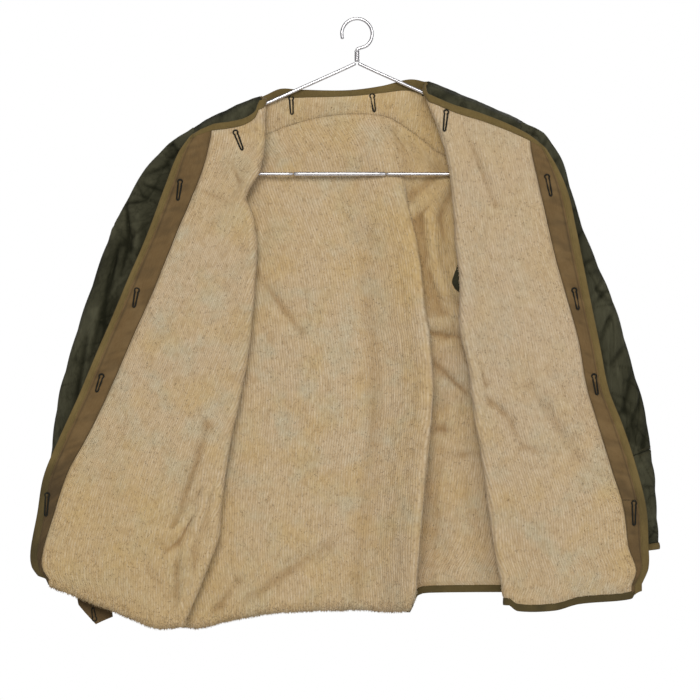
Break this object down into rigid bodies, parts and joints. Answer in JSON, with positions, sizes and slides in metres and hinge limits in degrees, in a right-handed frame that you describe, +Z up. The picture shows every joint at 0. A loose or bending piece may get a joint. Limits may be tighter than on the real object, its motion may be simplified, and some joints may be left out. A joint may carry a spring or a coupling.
{
  "type": "jacket liner on hanger",
  "caption": "Pile-lined quilted jacket liner hung open on a wire hanger, both fronts turned outwards over the sleeves.",
  "frame": {"origin": "the top inside of the hanger's hook, where it rests on a rail", "axes": "+Z up, +X to the right seen from the garment's open front, -Y towards that viewer"},
  "size_m": [0.8666, 0.0618, 0.8444],
  "materials": {
    "wool_pile": "ribbed wool pile, matt",
    "quilted_nylon": "thin woven nylon, soft sheen",
    "twill": "cotton twill, matt",
    "binding": "cotton binding tape, matt",
    "bright_wire": "bright drawn wire"
  },
  "bodies": {
    "root": {"yoke": "wool_pile", "back": "wool_pile", "front_left": "wool_pile", "front_right": "wool_pile", "facing_left": "twill", "facing_right": "twill", "facing_lower_right": "twill", "cuff_tab_left": "twill", "cuff_tab_right": "twill", "neck_tape_back": "binding", "hem_tape_back": "binding", "front_tape_left": "binding", "front_tape_right": "binding", "neck_tape_left": "binding", "neck_tape_right": "binding", "hem_tape_left": "binding", "hem_tape_right": "binding", "cuff_tape_left": "binding", "cuff_tape_right": "binding", "sleeve_left": "quilted_nylon", "sleeve_right": "quilted_nylon", "forearm_left": "quilted_nylon", "forearm_right": "quilted_nylon", "hanger_hook": "bright_wire", "hanger_neck": "bright_wire", "hanger_arm_left": "bright_wire", "hanger_arm_right": "bright_wire", "hanger_bar_left": "bright_wire", "hanger_bar_sleeve": "bright_wire", "hanger_bar_right": "bright_wire"}
  },
  "joints": []
}
